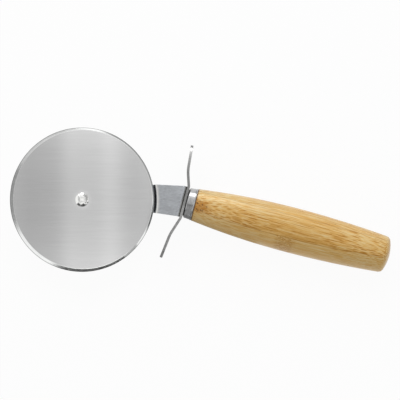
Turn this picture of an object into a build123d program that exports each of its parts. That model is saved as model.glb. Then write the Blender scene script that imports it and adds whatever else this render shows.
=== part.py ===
from build123d import *

import os
from math import cos, isclose, radians, sin, tan

# Pizza cutter with a one-sided arm, lying flat with the wheel's face up.
# +X runs along the handle to its butt, the wheel is towards -X, and +Z is square to the wheel's faces.
# The origin is under the middle of the whole cutter, on the surface that the handle's belly rests on.
# All lengths are in millimetres and all angles in degrees.

# Wheel: a flat steel disc, ground to an edge from both faces
wheel_diameter = 82.5
wheel_thickness = 1.2
bevel_width = 1.45
edge_thickness = 0.16

# The wheel's middle plane over the handle's axis
wheel_rise = 4.3

# Rivet that the wheel turns on, with its two washers
journal_diameter = 5.0
running_clearance = 0.05
end_float = 0.1
head_diameter = 8.0
head_height = 2.3
head_rim = 0.35
tenon_diameter = 4.0
tenon_clearance = 0.05
tail_diameter = 6.4
tail_height = 1.3
tail_rim = 0.3
spacer_diameter = 10.0
spacer_thickness = 2.0
tail_washer_diameter = 9.0
tail_washer_thickness = 0.8
washer_chamfer = 0.2

# Arm: one bent strip of sheet steel, canted to the handle, with a step down that follows the wheel's rim
arm_thickness = 1.5
arm_cant = 9.4
axle_run = 55.9
axle_offset = 4.48
fold_width = 17.8
fold_radius = 1.9
step_width = 16.3
step_slope = 75.0
step_bend_radius = 1.25
rim_gap = 1.0
tongue_end_radius = 7.0
flange_drop = 7.0
flange_corner = 6.0
washer_gap = 0.5

# Finger guard: a bent cross strip, whose lower wing is longer and leans more than its upper one
guard_thickness = 1.5
guard_depth = 15.0
guard_root_angle = 18.2
upper_wing_bend = 17.9
upper_wing_reach = 32.5
upper_wing_angle = 5.0
lower_wing_bend = 20.0
lower_wing_reach = 34.1
lower_wing_angle = 7.0
guard_fold_gap = 0.2
guard_root_radius = 2.0
guard_bend_radius = 24.0
guard_tip_round = 5.5
guard_edge_round = 0.25

# Ferrule: a drawn steel cup with a rolled rim
ferrule_length = 5.2
ferrule_front_diameter = 17.4
ferrule_rear_diameter = 18.2
ferrule_wall = 0.7
ferrule_round = 0.9
ferrule_bead = 0.45
ferrule_fit = 0.05

# Handle: a turned barrel with a spigot inside the ferrule
handle_length = 115.2
neck_step = 0.15
belly_diameter = 26.0
belly_place = 57.4
butt_diameter = 20.8
butt_crown = 2.3
butt_round = 3.0
neck_round = 0.4

# Screw along the handle's axis, with its two washers
screw_diameter = 5.0
screw_length = 40.0
screw_point = 5.0
screw_tip_diameter = 1.0
screw_head_diameter = 9.2
screw_head_height = 2.9
screw_head_round = 1.6
recess_length = 5.0
recess_width = 1.1
recess_depth = 1.7
screw_clearance = 0.25
thread_fit = 0.05
pilot_spare = 2.0
flat_washer_diameter = 10.0
flat_washer_thickness = 1.0
lock_washer_diameter = 9.0
lock_washer_thickness = 1.3
lock_washer_gap = 1.0
lock_washer_slant = 20.0

# How far a cut runs past the metal that it cuts
overrun = 5.0

# Radii
wheel_radius = wheel_diameter / 2
journal_radius = journal_diameter / 2
tenon_hole_radius = tenon_diameter / 2 + tenon_clearance
screw_radius = screw_diameter / 2
screw_hole_radius = screw_radius + screw_clearance
spigot_bore_radius = ferrule_front_diameter / 2 - ferrule_wall
neck_radius = ferrule_rear_diameter / 2 + neck_step

# Heights over the handle's axis: the flat clears the washer under it, the tongue clears the wheel
flat_rise = flat_washer_diameter / 2 + washer_gap + arm_thickness / 2
tongue_rise = wheel_rise - wheel_thickness / 2 - end_float - spacer_thickness - arm_thickness / 2

# Out from the axle, in the middle of the arm's sheet: the step's two bends, which clear the rim by the rim gap
step_run_per_drop = 1 / tan(radians(step_slope))
step_half_width = arm_thickness / 2 / sin(radians(step_slope))
step_knee = wheel_radius + rim_gap + step_half_width + (flat_rise - wheel_rise) * step_run_per_drop
step_foot = step_knee - (flat_rise - tongue_rise) * step_run_per_drop

# The axle, from the handle's seat and axis
cant_cos = cos(radians(arm_cant))
cant_sin = sin(radians(arm_cant))
wheel_reach = guard_thickness + fold_radius + axle_run * cant_cos - axle_offset * cant_sin
wheel_drop = axle_run * cant_sin + axle_offset * cant_cos

# Places in the cutter's frame
seat_x = (wheel_reach + wheel_radius - ferrule_length - handle_length) / 2
axis_y = (wheel_drop + wheel_radius - upper_wing_reach) / 2
axis_z = belly_diameter / 2
axle_x = seat_x - wheel_reach
axle_y = axis_y - wheel_drop
blade_z = axis_z + wheel_rise

# Levels along the axle, from the top down
head_seat_z = blade_z + wheel_thickness / 2 + end_float
shoulder_z = blade_z - wheel_thickness / 2 - end_float
tongue_front_z = shoulder_z - spacer_thickness
tongue_back_z = tongue_front_z - arm_thickness
tail_seat_z = tongue_back_z - tail_washer_thickness

# Places along the handle's axis, from the guard to the screw's head
flange_back_x = seat_x - guard_thickness
flange_front_x = flange_back_x - arm_thickness
flat_washer_front_x = flange_front_x - flat_washer_thickness
head_seat_x = flat_washer_front_x - lock_washer_thickness

# Planes and axes that the pieces are drawn on
axle = Axis((axle_x, axle_y, 0), (0, 0, 1))
axle_section = Plane((axle_x, axle_y, 0), x_dir=(1, 0, 0), z_dir=(0, -1, 0))
handle_axis = Axis((seat_x, axis_y, axis_z), (1, 0, 0))
handle_section = Plane((seat_x, axis_y, axis_z), x_dir=(1, 0, 0), z_dir=(0, 0, 1))


def across_handle(x):
    """Plane square to the handle's axis at x, facing the butt, with its centre on that axis."""
    return Plane((x, axis_y, axis_z), x_dir=(0, 1, 0), z_dir=(1, 0, 0))


def cut_edges(sheet, thickness):
    """Edges along a bent sheet's cut sides, without the short ones through its thickness."""
    found = ShapeList()
    for edge in sheet.edges():
        normals = [face.normal_at(edge @ 0.5) for face in sheet.faces() if edge in face.edges()]
        is_sharp = len(normals) == 2 and abs(normals[0].dot(normals[1])) < sin(radians(45))
        if is_sharp and not isclose(edge.length, thickness, rel_tol=0.01):
            found.append(edge)
    return found


def wing_points(strip_x, root_y, bend_y, reach, wing_angle):
    """Corners of one wing of the guard, as x and the distance from the handle's axis, from its root to its tip."""
    bend_x = strip_x - (bend_y - root_y) * tan(radians(guard_root_angle))
    tip_x = bend_x - (reach - bend_y) * tan(radians(wing_angle))
    return [(strip_x, root_y), (bend_x, bend_y), (tip_x, reach)]


# Cutting wheel
with BuildPart() as cutting_wheel:
    half_wheel = wheel_thickness / 2
    half_edge = edge_thickness / 2
    bore_radius = journal_radius + running_clearance
    with BuildSketch(axle_section):
        with BuildLine():
            Polyline(
                (bore_radius, blade_z - half_wheel),
                (wheel_radius - bevel_width, blade_z - half_wheel),
                (wheel_radius, blade_z - half_edge),
                (wheel_radius, blade_z + half_edge),
                (wheel_radius - bevel_width, blade_z + half_wheel),
                (bore_radius, blade_z + half_wheel),
                close=True,
            )
        make_face()
    revolve(axis=axle)

# Rivet: dome head, journal in the wheel's bore, thinner tenon through the arm, closed tail
with BuildPart() as axle_rivet:
    head_radius = head_diameter / 2
    tenon_radius = tenon_diameter / 2
    tail_radius = tail_diameter / 2
    head_top = (0, head_seat_z + head_height)
    head_edge = (head_radius, head_seat_z + head_rim)
    tail_bottom = (0, tail_seat_z - tail_height)
    tail_edge = (tail_radius, tail_seat_z - tail_rim)
    with BuildSketch(axle_section):
        with BuildLine():
            TangentArc(head_top, head_edge, tangent=(1, 0))
            Polyline(
                head_edge,
                (head_radius, head_seat_z),
                (journal_radius, head_seat_z),
                (journal_radius, shoulder_z),
                (tenon_radius, shoulder_z),
                (tenon_radius, tail_seat_z),
                (tail_radius, tail_seat_z),
                tail_edge,
            )
            TangentArc(tail_bottom, tail_edge, tangent=(1, 0))
            Line(tail_bottom, head_top)
        make_face()
    revolve(axis=axle)

# Spacer between the arm and the wheel
with BuildPart() as wheel_spacer:
    with BuildSketch(Plane.XY.offset(tongue_front_z)):
        with Locations((axle_x, axle_y)):
            Circle(spacer_diameter / 2)
            Circle(tenon_hole_radius, mode=Mode.SUBTRACT)
    extrude(amount=spacer_thickness)
    spacer_rims = wheel_spacer.edges().sort_by(SortBy.LENGTH)[-2:]
    chamfer(spacer_rims, length=washer_chamfer)

# Washer under the rivet's tail
with BuildPart() as tail_washer:
    with BuildSketch(Plane.XY.offset(tail_seat_z)):
        with Locations((axle_x, axle_y)):
            Circle(tail_washer_diameter / 2)
            Circle(tenon_hole_radius, mode=Mode.SUBTRACT)
    extrude(amount=tail_washer_thickness)
    tail_rims = tail_washer.edges().sort_by(SortBy.LENGTH)[-2:]
    chamfer(tail_rims, length=washer_chamfer)

# Arm: its flat and its tongue lie along a line canted to the handle's axis, and a round step joins them
fold_x = flange_back_x - fold_radius
arm_plan = Plane((fold_x, axis_y, 0), x_dir=(-cant_cos, -cant_sin, 0), z_dir=(0, 0, 1))
arm_section = Plane((axle_x, axle_y, axis_z), x_dir=(cant_cos, cant_sin, 0), z_dir=(cant_sin, -cant_cos, 0))

with BuildPart() as neck_plate:
    # The stepped sheet, turned about the axle and wider than the arm
    with BuildSketch(arm_section):
        with BuildLine():
            FilletPolyline(
                (0, tongue_rise),
                (step_foot, tongue_rise),
                (step_knee, flat_rise),
                (axle_run + fold_width, flat_rise),
                radius=step_bend_radius,
            )
        trace(line_width=arm_thickness)
    revolve(axis=axle)
    # Trimmed to the arm's outline: the flat tapers to the step, and the tongue is round about the axle
    step_corners = [
        arm_plan.from_local_coords(Vector(axle_run - step_foot, side * step_width / 2, 0)) for side in (1, -1)
    ]
    with BuildSketch(Plane.XY.offset(axis_z + tongue_rise - overrun)):
        with BuildLine():
            Polyline(
                (fold_x, axis_y - fold_width / 2),
                step_corners[0],
                step_corners[1],
                (fold_x, axis_y + fold_width / 2),
                close=True,
            )
        make_face()
        with BuildSketch(mode=Mode.PRIVATE) as tongue_end:
            with Locations((axle_x, axle_y)):
                Circle(tongue_end_radius)
        make_hull(tongue_end.edges() + [Edge.make_line(*step_corners)])
    extrude(amount=flat_rise - tongue_rise + 2 * overrun, mode=Mode.INTERSECT)
    # The fold and the flange that stands against the guard
    with BuildSketch(Plane.XZ.offset(-axis_y)):
        with BuildLine():
            fold = JernArc((fold_x, axis_z + flat_rise), (1, 0), fold_radius - arm_thickness / 2, -90)
            Line(fold @ 1, (flange_back_x - arm_thickness / 2, axis_z - flange_drop))
        trace(line_width=arm_thickness)
    extrude(amount=fold_width / 2, both=True)
    flange_corners = neck_plate.edges().filter_by(Axis.X).group_by(Axis.Z)[0]
    fillet(flange_corners, radius=flange_corner)
    # Holes for the screw and the rivet
    with BuildSketch(across_handle(flange_back_x)):
        Circle(screw_hole_radius)
    extrude(amount=-arm_thickness, mode=Mode.SUBTRACT)
    with BuildSketch(Plane.XY.offset(tongue_front_z)):
        with Locations((axle_x, axle_y)):
            Circle(tenon_hole_radius)
    extrude(amount=-arm_thickness, mode=Mode.SUBTRACT)

# Finger guard
with BuildPart() as finger_guard:
    strip_x = seat_x - guard_thickness / 2
    root_tangent = guard_root_radius * tan(radians(guard_root_angle / 2))
    root_y = fold_width / 2 + guard_fold_gap + root_tangent
    upper_points = wing_points(strip_x, root_y, upper_wing_bend, upper_wing_reach, upper_wing_angle)
    lower_points = wing_points(strip_x, root_y, lower_wing_bend, lower_wing_reach, lower_wing_angle)
    with BuildSketch(Plane.XY.offset(axis_z - guard_depth / 2)):
        with BuildLine():
            FilletPolyline(
                *[(x, axis_y + y) for x, y in reversed(upper_points)],
                *[(x, axis_y - y) for x, y in lower_points],
                radius=[guard_bend_radius, guard_root_radius, guard_root_radius, guard_bend_radius],
            )
        trace(line_width=guard_thickness)
    extrude(amount=guard_depth)
    tip_corners = finger_guard.edges().filter_by(
        lambda edge: isclose(edge.length, guard_thickness, rel_tol=1e-4)
    )
    fillet(tip_corners, radius=guard_tip_round)
    fillet(cut_edges(finger_guard, guard_thickness), radius=guard_edge_round)
    with BuildSketch(across_handle(seat_x)):
        Circle(screw_hole_radius)
    extrude(amount=-guard_thickness, mode=Mode.SUBTRACT)

# Ferrule
with BuildPart() as ferrule:
    front_corner = (0, ferrule_front_diameter / 2)
    rear_radius = ferrule_rear_diameter / 2
    with BuildSketch(handle_section) as cup_profile:
        with BuildLine():
            Polyline(
                (0, screw_hole_radius),
                front_corner,
                (ferrule_length, rear_radius),
                (ferrule_length, spigot_bore_radius),
                (ferrule_wall, spigot_bore_radius),
                (ferrule_wall, screw_hole_radius),
                close=True,
            )
        make_face()
        fillet(cup_profile.vertices().sort_by_distance(front_corner)[0], radius=ferrule_round)
        with Locations((ferrule_length - ferrule_bead, rear_radius - ferrule_bead / 2)):
            Circle(ferrule_bead)
    revolve(axis=handle_axis)

# Handle
with BuildPart() as handle:
    butt_x = ferrule_length + handle_length
    neck = (ferrule_length, neck_radius)
    belly = (ferrule_length + belly_place, belly_diameter / 2)
    butt_corner = (butt_x - butt_crown, butt_diameter / 2)
    spigot_radius = spigot_bore_radius - ferrule_fit
    with BuildSketch(handle_section) as handle_profile:
        with BuildLine():
            Polyline(
                (butt_x, 0),
                (ferrule_wall, 0),
                (ferrule_wall, spigot_radius),
                (ferrule_length, spigot_radius),
                neck,
            )
            TangentArc(belly, neck, tangent=(-1, 0))
            TangentArc(belly, butt_corner, tangent=(1, 0))
            TangentArc((butt_x, 0), butt_corner, tangent=(0, 1))
        make_face()
        fillet(handle_profile.vertices().sort_by_distance(neck)[0], radius=neck_round)
        fillet(handle_profile.vertices().sort_by_distance(butt_corner)[0], radius=butt_round)
    revolve(axis=handle_axis)
    # Pilot bore for the screw
    with BuildSketch(across_handle(head_seat_x)):
        Circle(screw_radius + thread_fit)
    extrude(amount=screw_length + pilot_spare, mode=Mode.SUBTRACT)

# Screw: pan head with a cross recess, plain shank, point
with BuildPart() as tang_screw:
    head_seat = head_seat_x - seat_x
    head_corner = (head_seat - screw_head_height, screw_head_diameter / 2)
    with BuildSketch(handle_section) as screw_profile:
        with BuildLine():
            Polyline(
                (head_seat - screw_head_height, 0),
                head_corner,
                (head_seat, screw_head_diameter / 2),
                (head_seat, screw_radius),
                (head_seat + screw_length - screw_point, screw_radius),
                (head_seat + screw_length, screw_tip_diameter / 2),
                (head_seat + screw_length, 0),
                close=True,
            )
        make_face()
        fillet(screw_profile.vertices().sort_by_distance(head_corner)[0], radius=screw_head_round)
    revolve(axis=handle_axis)
    with BuildSketch(across_handle(head_seat_x - screw_head_height)):
        Rectangle(recess_length, recess_width)
        Rectangle(recess_width, recess_length)
    extrude(amount=recess_depth, mode=Mode.SUBTRACT)

# Flat washer against the flange
with BuildPart() as flat_washer:
    with BuildSketch(across_handle(flat_washer_front_x)):
        Circle(flat_washer_diameter / 2)
        Circle(screw_hole_radius, mode=Mode.SUBTRACT)
    extrude(amount=flat_washer_thickness)
    washer_rims = flat_washer.edges().sort_by(SortBy.LENGTH)[-2:]
    chamfer(washer_rims, length=washer_chamfer)

# Split spring washer under the screw's head
with BuildPart() as lock_washer:
    with BuildSketch(across_handle(head_seat_x)):
        Circle(lock_washer_diameter / 2)
        Circle(screw_hole_radius, mode=Mode.SUBTRACT)
    extrude(amount=lock_washer_thickness)
    slit_height = (lock_washer_diameter - screw_diameter) / 2
    with BuildSketch(Plane.XY.offset(axis_z + screw_radius)):
        with Locations(Location((head_seat_x + lock_washer_thickness / 2, axis_y), lock_washer_slant)):
            Rectangle(lock_washer_thickness + 2 * overrun, lock_washer_gap)
    extrude(amount=slit_height + overrun, mode=Mode.SUBTRACT)

pieces = {
    "cutting_wheel": cutting_wheel,
    "axle_rivet": axle_rivet,
    "wheel_spacer": wheel_spacer,
    "tail_washer": tail_washer,
    "neck_plate": neck_plate,
    "finger_guard": finger_guard,
    "ferrule": ferrule,
    "handle": handle,
    "tang_screw": tang_screw,
    "flat_washer": flat_washer,
    "lock_washer": lock_washer,
}

os.makedirs("parts", exist_ok=True)
for name, piece in pieces.items():
    piece.part.label = name
    export_step(piece.part, f"parts/{name}.step")
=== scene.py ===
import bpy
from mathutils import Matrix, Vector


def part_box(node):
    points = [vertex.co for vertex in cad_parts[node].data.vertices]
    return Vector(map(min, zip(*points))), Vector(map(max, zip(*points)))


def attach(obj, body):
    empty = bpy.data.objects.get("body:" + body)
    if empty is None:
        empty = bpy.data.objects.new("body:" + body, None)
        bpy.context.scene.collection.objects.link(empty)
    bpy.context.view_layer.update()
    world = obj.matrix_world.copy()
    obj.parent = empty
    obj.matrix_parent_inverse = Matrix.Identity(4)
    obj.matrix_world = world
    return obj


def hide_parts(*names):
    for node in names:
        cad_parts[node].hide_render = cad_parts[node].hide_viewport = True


bl_info = {
    "name": "Pizza Cutter Wheel",
    "version": (1, 0, 0),
    "blender": (4, 5, 0),
    "location": "3D View > Sidebar > Cutter",
    "description": "Dresses the CAD frame of a bamboo handled pizza cutter and sets up its studio",
    "category": "Object",
}

from math import acos, atan2, cos, pi, radians, sin, tan

import bmesh
import bpy
from bpy.props import FloatProperty, FloatVectorProperty, PointerProperty
from bpy.types import Operator, Panel, PropertyGroup
from mathutils import Matrix, Vector

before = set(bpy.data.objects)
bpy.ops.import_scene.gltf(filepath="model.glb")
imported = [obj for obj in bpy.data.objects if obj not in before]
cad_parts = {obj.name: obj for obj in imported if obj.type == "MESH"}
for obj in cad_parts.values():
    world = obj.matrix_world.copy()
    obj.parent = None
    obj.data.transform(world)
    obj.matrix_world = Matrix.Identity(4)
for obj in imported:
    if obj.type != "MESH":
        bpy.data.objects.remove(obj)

MM = 0.001
UP = Vector((0, 0, 1))
# Points nearer to each other than this are one point, and points nearer to a line or plane than this lie on it
SAME = 1e-7
ON_IT = 1e-6

# Places that the frame gives: the axle through the wheel, and the line of the handle from its seat on the guard
wheel_low, wheel_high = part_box("cutting_wheel")
ferrule_low, ferrule_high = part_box("ferrule")
arm_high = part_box("neck_plate")[1]
handle_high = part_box("handle")[1]
AXLE = (wheel_low + wheel_high) / 2
SEAT = Vector((ferrule_low.x, (ferrule_low.y + ferrule_high.y) / 2, (ferrule_low.z + ferrule_high.z) / 2))
WHEEL_RADIUS = (wheel_high.x - wheel_low.x) / 2

# The photograph looks straight down, with the handle turned this far clockwise
PICTURE_TURN = radians(14.7)
PICTURE_RIGHT = Vector((cos(PICTURE_TURN), sin(PICTURE_TURN), 0))
PICTURE_UP = Vector((-sin(PICTURE_TURN), cos(PICTURE_TURN), 0))


def linear(code):
    """Linear colour of an sRGB hex code, with an alpha of 1."""
    levels = [int(code[i : i + 2], 16) / 255 for i in (0, 2, 4)]
    return (*(level / 12.92 if level <= 0.04045 else ((level + 0.055) / 1.055) ** 2.4 for level in levels), 1.0)


def size(name, description, value):
    """A length that a user can set, in metres, from its value in millimetres."""
    return FloatProperty(
        name=name, description=description, default=value * MM, min=0, precision=5, subtype="DISTANCE", unit="LENGTH"
    )


def angle(name, description, value):
    """An angle that a user can set, from its value in degrees."""
    return FloatProperty(
        name=name, description=description, default=radians(value), subtype="ANGLE", unit="ROTATION"
    )


def colour(name, description, code):
    """A colour that a user can set."""
    return FloatVectorProperty(
        name=name, description=description, default=linear(code), size=4, min=0, max=1, subtype="COLOR"
    )


class WheelSettings(PropertyGroup):
    thickness: size("Thickness", "Thickness of the wheel's sheet", 1.2)
    bevel_width: size("Bevel width", "Mean width of the ground bevel", 1.45)
    edge_land: size("Edge land", "Thickness left at the cutting edge", 0.16)
    bore: size("Bore", "Diameter of the hole for the rivet", 5.1)
    grind_shift: size("Grind shift", "How far the bevel's inner rim is off centre", 0.515)
    steel: colour("Steel", "Brushed steel of the faces", "DADADA")
    ground: colour("Ground steel", "Bare steel of the bevel", "F4F5F4")


class RivetSettings(PropertyGroup):
    head_diameter: size("Head", "Diameter of the dome head", 8.0)
    head_height: size("Head height", "Height of the dome head", 2.3)
    head_rim: size("Head rim", "Height of the head's straight rim", 0.35)
    journal: size("Journal", "Diameter that the wheel turns on", 5.0)
    tenon: size("Tenon", "Diameter through the arm", 4.0)
    tail_diameter: size("Tail", "Diameter of the closed end", 6.4)
    tail_rim: size("Tail rim", "Height of the closed end's straight rim", 0.3)
    steel: colour("Steel", "Polished steel of the rivet", "F4F4F2")


class ArmSettings(PropertyGroup):
    thickness: size("Thickness", "Thickness of the arm's strip", 1.5)
    flange_drop: size("Flange drop", "From the handle's axis down to the flange's lower edge", 7.0)
    flange_width: size("Flange width", "Width of the flange and the fold", 17.8)
    flange_round: size("Flange rounding", "Radius of the flange's lower corners", 6.0)
    fold_radius: size("Fold radius", "Radius of the fold at the middle of the sheet", 1.15)
    rim_gap: size("Rim gap", "Gap between the wheel's rim and the step", 1.0)
    step_width: size("Step width", "Width of the strip at the foot of the step", 16.3)
    step_slope: angle("Step slope", "How steeply the strip steps down beside the wheel", 75)
    step_radius: size("Step radius", "Radius of the step's bends at the middle of the sheet", 1.25)
    cant: angle("Cant", "How far the arm is turned from the handle's line", 9.4)
    tongue_radius: size("Tongue radius", "Radius of the strip's end round the rivet", 7.0)
    screw_hole: size("Screw hole", "Diameter of the hole in the flange", 5.5)
    rivet_hole: size("Rivet hole", "Diameter of the hole for the rivet's tenon", 4.1)
    edge_wear: size("Edge wear", "Width of the tumbled edges", 0.28)
    steel: colour("Steel", "Tumbled steel of the arm", "BABDC1")


class GuardSettings(PropertyGroup):
    thickness: size("Thickness", "Thickness of the guard's strip", 1.5)
    depth: size("Depth", "Width of the guard's strip", 15.0)
    root_place: size("Root place", "From the handle's axis to the first bend's corner", 9.42)
    root_turn: angle("Root turn", "Turn of the first bend, away from the handle", 18.2)
    root_radius: size("Root radius", "Radius of the first bend", 2.0)
    bend_radius: size("Bend radius", "Radius of the second bend", 24.0)
    upper_bend: size("Upper bend", "From the handle's axis to the upper wing's second bend", 17.9)
    upper_lean: angle("Upper lean", "Lean of the upper wing's tip, away from the handle", 5.0)
    upper_reach: size("Upper reach", "From the handle's axis to the upper wing's tip", 32.49)
    lower_bend: size("Lower bend", "From the handle's axis to the lower wing's second bend", 20.0)
    lower_lean: angle("Lower lean", "Lean of the lower wing's tip, away from the handle", 7.0)
    lower_reach: size("Lower reach", "From the handle's axis to the lower wing's tip", 34.1)
    tip_round: size("Tip rounding", "Radius of the corners at the tips", 5.5)
    screw_hole: size("Screw hole", "Diameter of the hole for the screw", 5.5)
    edge_wear: size("Edge wear", "Width of the tumbled edges", 0.25)
    steel: colour("Steel", "Tumbled steel of the guard", "B9B9B8")


class FerruleSettings(PropertyGroup):
    length: size("Length", "Length of the ferrule", 5.2)
    front_diameter: size("Front", "Diameter at the guard", 17.4)
    rear_diameter: size("Rear", "Diameter at the wood", 18.2)
    front_round: size("Front rounding", "Radius between the front face and the side", 0.5)
    groove_width: size("Groove width", "Width of the turned step at the guard", 0.5)
    groove_depth: size("Groove depth", "Depth of the turned step at the guard", 0.9)
    bead: size("Bead", "Radius of the rolled rim", 0.45)
    wall: size("Wall", "Thickness of the drawn sheet", 0.7)
    screw_hole: size("Screw hole", "Diameter of the hole for the screw", 5.5)
    steel: colour("Steel", "Buffed steel of the ferrule", "BEBEBE")


class HandleSettings(PropertyGroup):
    neck_diameter: size("Neck", "Diameter behind the ferrule", 18.5)
    neck_round: size("Neck rounding", "Radius of the edge behind the ferrule", 0.4)
    belly_diameter: size("Belly", "Largest diameter of the barrel", 26.0)
    belly_place: size("Belly place", "From the ferrule's end to the largest diameter", 57.4)
    butt_diameter: size("Butt", "Diameter at the butt", 20.8)
    butt_round: size("Butt rounding", "Radius of the edge at the butt", 3.0)
    butt_crown: size("Butt crown", "How far the butt's face stands out", 2.3)
    spigot: size("Spigot", "Diameter of the turned end inside the ferrule", 15.9)
    spigot_gap: size("Spigot gap", "Wall of the ferrule in front of the spigot", 0.7)
    pilot_bore: size("Pilot bore", "Diameter of the hole for the screw", 5.1)
    pilot_depth: size("Pilot depth", "Depth of the screw's hole from the guard", 36.7)
    pale: colour("Pale fibre", "Soft tissue between the fibre bundles", "ECD095")
    honey: colour("Honey", "Main colour of the bamboo", "E2B15D")
    amber: colour("Amber", "Colour of the fibre bundles", "BA7C22")
    brown: colour("Brown", "Colour of the glue lines and, darker, of the pits", "93602A")


class FastenerSettings(PropertyGroup):
    zinc: colour("Zinc", "Zinc coat of the screw, the spacer and the flat washers", "C3C6C8")
    spring: colour("Spring steel", "Darker steel of the lock washer", "8E9092")


class StudioSettings(PropertyGroup):
    camera_height: size("Camera height", "Height of the camera over the handle's axis", 1600)
    picture_width: size("Picture width", "Width of the view at the handle", 229.3)
    daylight: FloatProperty(name="Daylight", description="Level of the even light from all sides", default=0.45, min=0)
    key_power: FloatProperty(
        name="Key power", description="Power of the large soft lamp", default=5.5, min=0, unit="POWER"
    )
    ceiling_height: size("Ceiling height", "Height of the graded diffuser over the wheel", 80)
    spot_height: size("Spot height", "Height of the white spot over the wheel", 11)
    floor: colour("Floor", "Colour of the floor", "FAFAFA")


def start_nodes(tree):
    """Clears a node tree, and gives the function that adds a node to it."""
    tree.nodes.clear()

    def add(kind, *inputs, stops=(), **settings):
        """Adds a node with its settings. Inputs are in the node's own order, or in a dict by name or number. Each is a
        value, a socket, or a node whose first output it takes."""
        node = tree.nodes.new("ShaderNode" + kind)
        for name, value in settings.items():
            setattr(node, name, value)
        named = inputs and isinstance(inputs[0], dict)
        for key, value in inputs[0].items() if named else enumerate(inputs):
            if isinstance(value, bpy.types.Node):
                value = next(socket for socket in value.outputs if socket.enabled)
            if isinstance(value, bpy.types.NodeSocket):
                tree.links.new(value, node.inputs[key])
            else:
                node.inputs[key].default_value = value
        if stops:
            elements = node.color_ramp.elements
            elements.remove(elements[1])
            elements[0].position, elements[0].color = stops[0]
            for place, shade in stops[1:]:
                elements.new(place).color = shade
        return node

    return add


def new_material(name):
    """An empty material, and the function that adds nodes to it."""
    material = bpy.data.materials.new(name)
    material.use_nodes = True
    return material, start_nodes(material.node_tree)


def grain_space(add, centre, turn, feature):
    """Object coordinates from centre, turned about +Z and counted in features of the given size."""
    place = add("TexCoord").outputs["Object"]
    inputs = {"Vector": place, "Location": centre, "Rotation": (0, 0, turn), "Scale": feature}
    return add("Mapping", inputs, vector_type="TEXTURE")


def grey(level):
    """A grey of the given brightness."""
    return (level, level, level, 1)


def shaded(shade, level):
    """A colour made darker or lighter."""
    return (*(min(1, part * level) for part in shade[:3]), 1)


def brushed_sheet(settings):
    """The wheel's faces."""
    # Stainless sheet, belt brushed along one line before it is cut: a wide soft sheen across the brush lines.
    # The real lines are about 0.05 mm apart, too fine to show, so they are drawn 0.5 mm apart.
    material, add = new_material("brushed_stainless_sheet")
    fine = grain_space(add, AXLE, PICTURE_TURN, (28 * MM, 0.5 * MM, 1))
    lines = add("TexNoise", {"Vector": fine, "Scale": 1, "Detail": 1})
    wide = grain_space(add, AXLE, PICTURE_TURN, (70 * MM, 5 * MM, 1))
    passes = add("TexNoise", {"Vector": wide, "Scale": 1, "Detail": 2, "Roughness": 0.5})
    both = add("Mix", {0: 0.3, 2: lines, 3: passes})
    tone = add("ValToRGB", both, stops=[(0.35, shaded(settings.steel, 0.96)), (0.65, settings.steel)])
    # The metal round the rivet is pressed a little brighter
    outward = add("VectorMath", grain_space(add, AXLE, 0, (MM, MM, 1)), operation="LENGTH")
    pressed = add("MapRange", outward.outputs["Value"], 6.6, 4.4, 0, 0.5, interpolation_type="SMOOTHSTEP")
    tone = add("Mix", {0: pressed, 6: tone, 7: shaded(settings.steel, 1.08)}, data_type="RGBA")
    rough = add("MapRange", passes, 0.3, 0.7, 0.19, 0.22)
    relief = add("Bump", {"Height": lines, "Distance": 0.0006 * MM})
    # A highlight spreads across the brush lines, and turns with the piece
    spread = add("VectorTransform", PICTURE_UP, vector_type="VECTOR", convert_from="OBJECT", convert_to="WORLD")
    surface = {
        "Base Color": tone,
        "Metallic": 1,
        "Roughness": rough,
        "Normal": relief,
        "Anisotropic": 0.8,
        "Tangent": spread,
    }
    add("OutputMaterial", add("BsdfPrincipled", surface))
    return material


def ground_bevel(settings):
    """The wheel's bevel."""
    # Bare steel off the grinding stone: brighter than the sheet, with fine lines round the rim. The real lines are
    # about 0.05 mm apart, and are drawn 0.2 mm apart so that they show.
    material, add = new_material("ground_stainless_bevel")
    radial = grain_space(add, AXLE, 0, (1, 1, 1))
    reach = add("VectorMath", radial, operation="LENGTH").outputs["Value"]
    count = add("Math", reach, 0.2 * MM, operation="DIVIDE")
    rings = add("TexNoise", {"W": count, "Scale": 1, "Detail": 2}, noise_dimensions="1D")
    blocks = grain_space(add, AXLE, 0, (2.5 * MM, 2.5 * MM, 2.5 * MM))
    chatter = add("TexNoise", {"Vector": blocks, "Scale": 1, "Detail": 3, "Roughness": 0.6})
    both = add("Mix", {0: 0.4, 2: rings, 3: chatter})
    tone = add("ValToRGB", both, stops=[(0.3, shaded(settings.ground, 0.9)), (0.65, settings.ground)])
    # Painted shade: the very edge is drawn darker, as a dark line round the rim
    painted_edge_shade = add("MapRange", reach, WHEEL_RADIUS - 0.4 * MM, WHEEL_RADIUS - 0.2 * MM, interpolation_type="SMOOTHSTEP")
    tone = add("Mix", {0: painted_edge_shade, 6: tone, 7: shaded(settings.ground, 0.35)}, data_type="RGBA")
    rough = add("MapRange", chatter, 0.3, 0.7, 0.11, 0.17)
    relief = add("Bump", {"Height": both, "Distance": 0.01 * MM})
    spread = add("VectorTransform", radial, vector_type="VECTOR", convert_from="OBJECT", convert_to="WORLD")
    surface = {
        "Base Color": tone,
        "Metallic": 1,
        "Roughness": rough,
        "Normal": relief,
        "Anisotropic": 0.5,
        "Tangent": spread,
    }
    add("OutputMaterial", add("BsdfPrincipled", surface))
    return material


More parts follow.
